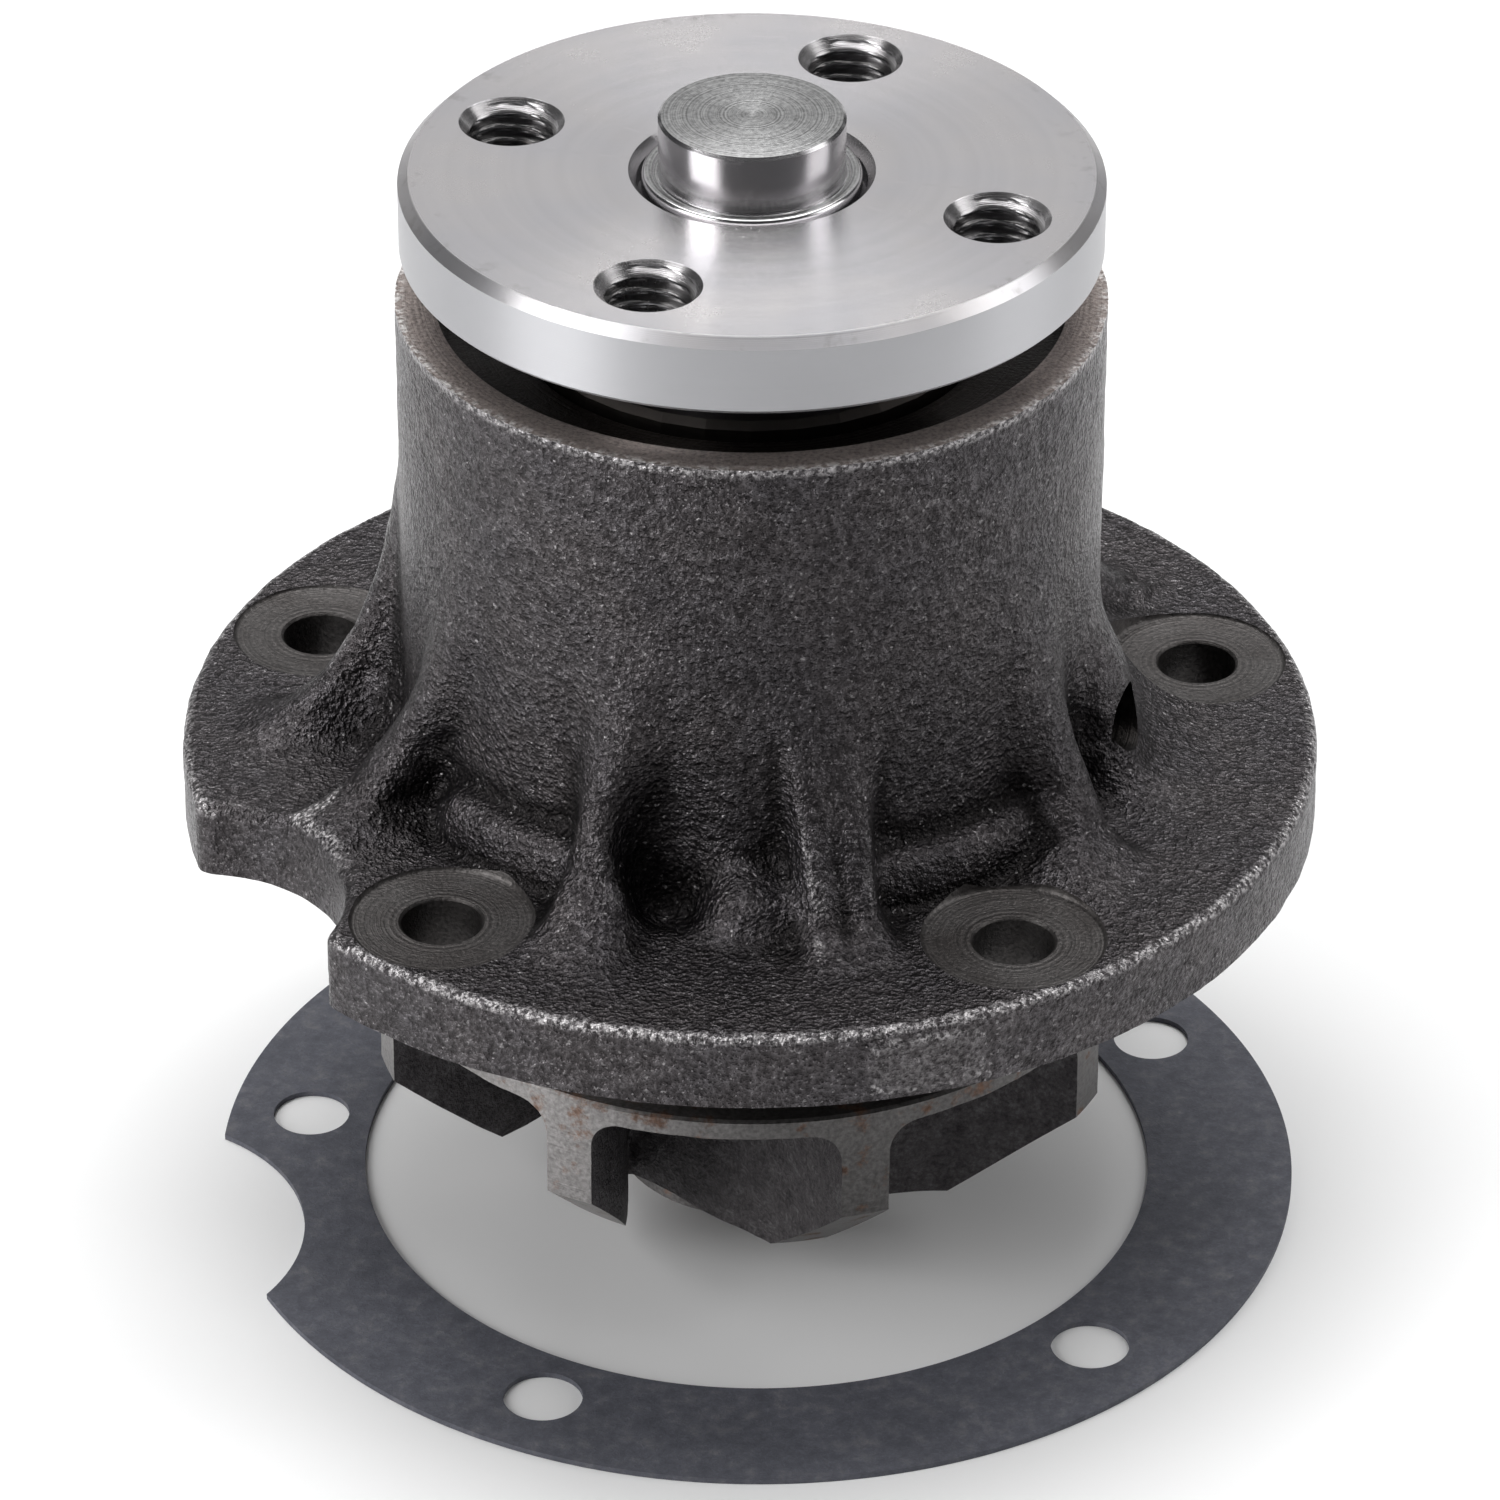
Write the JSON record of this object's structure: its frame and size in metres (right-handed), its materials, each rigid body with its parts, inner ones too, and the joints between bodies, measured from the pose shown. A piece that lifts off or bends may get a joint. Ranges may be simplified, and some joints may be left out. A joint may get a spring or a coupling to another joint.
{
  "type": "engine coolant pump",
  "caption": "Coolant pump with cast flanged housing, turned hub flange, sealed shaft bearing, mechanical seal, swept-vane impeller and a loose notched gasket.",
  "frame": {"origin": "centre of the impeller's end boss, which is the surface that the pump stands on", "axes": "+Z along the shaft from the impeller to the hub flange; -Y towards the front, +X to the right"},
  "size_m": [0.0966, 0.0977, 0.102],
  "materials": {
    "cast_housing": "rough sand-cast dark grey, turned rim and spotfaces",
    "turned_steel": "fine turned, bright",
    "ground_steel": "ground",
    "bearing_steel": "polished",
    "black_rubber": "matt moulded",
    "cage_nylon": "moulded glass-filled nylon",
    "seal_brass": "deep-drawn brass",
    "seal_carbon": "lapped carbon",
    "seal_ceramic": "lapped ceramic",
    "impeller_iron": "cast with turned rim and vane ends, rust specks",
    "gasket_paper": "matt mottled fibre paper"
  },
  "bodies": {
    "housing_body": {"housing": "cast_housing", "bearing_outer_ring": "bearing_steel", "bearing_seal_upper": "black_rubber", "bearing_seal_lower": "black_rubber", "seal_cup": "seal_brass", "seal_spring": "ground_steel", "seal_bellows": "black_rubber", "seal_carbon_ring": "seal_carbon"},
    "rotor": {"hub_flange": "turned_steel", "shaft": "ground_steel", "slinger": "ground_steel", "seal_mating_ring": "seal_ceramic", "mating_ring_boot": "black_rubber", "impeller": "impeller_iron"},
    "ball_set": {"ball_cage_upper": "cage_nylon", "ball_upper_1": "bearing_steel", "ball_upper_2": "bearing_steel", "ball_upper_3": "bearing_steel", "ball_upper_4": "bearing_steel", "ball_upper_5": "bearing_steel", "ball_upper_6": "bearing_steel", "ball_upper_7": "bearing_steel", "ball_upper_8": "bearing_steel", "ball_upper_9": "bearing_steel", "ball_cage_lower": "cage_nylon", "ball_lower_1": "bearing_steel", "ball_lower_2": "bearing_steel", "ball_lower_3": "bearing_steel", "ball_lower_4": "bearing_steel", "ball_lower_5": "bearing_steel", "ball_lower_6": "bearing_steel", "ball_lower_7": "bearing_steel", "ball_lower_8": "bearing_steel", "ball_lower_9": "bearing_steel"},
    "gasket": {"flange_gasket": "gasket_paper"}
  },
  "joints": [
    {"name": "rotor_spin", "type": "hinge", "parent": "housing_body", "child": "rotor", "pos_m": [0, 0, 0], "axis": [0, 0, 1], "continuous": true},
    {"name": "ball_set_orbit", "type": "hinge", "parent": "housing_body", "child": "ball_set", "pos_m": [0, 0, 0.069], "axis": [0, 0, 1], "continuous": true},
    {"name": "gasket_lift", "type": "slide", "parent": "housing_body", "child": "gasket", "axis": [-0.0192, 0.0644, 0.9977], "range_m": [0, 0.0364]}
  ],
  "couplings": [
    {"joint": "ball_set_orbit", "follows": "rotor_spin", "ratio": 0.361}
  ]
}
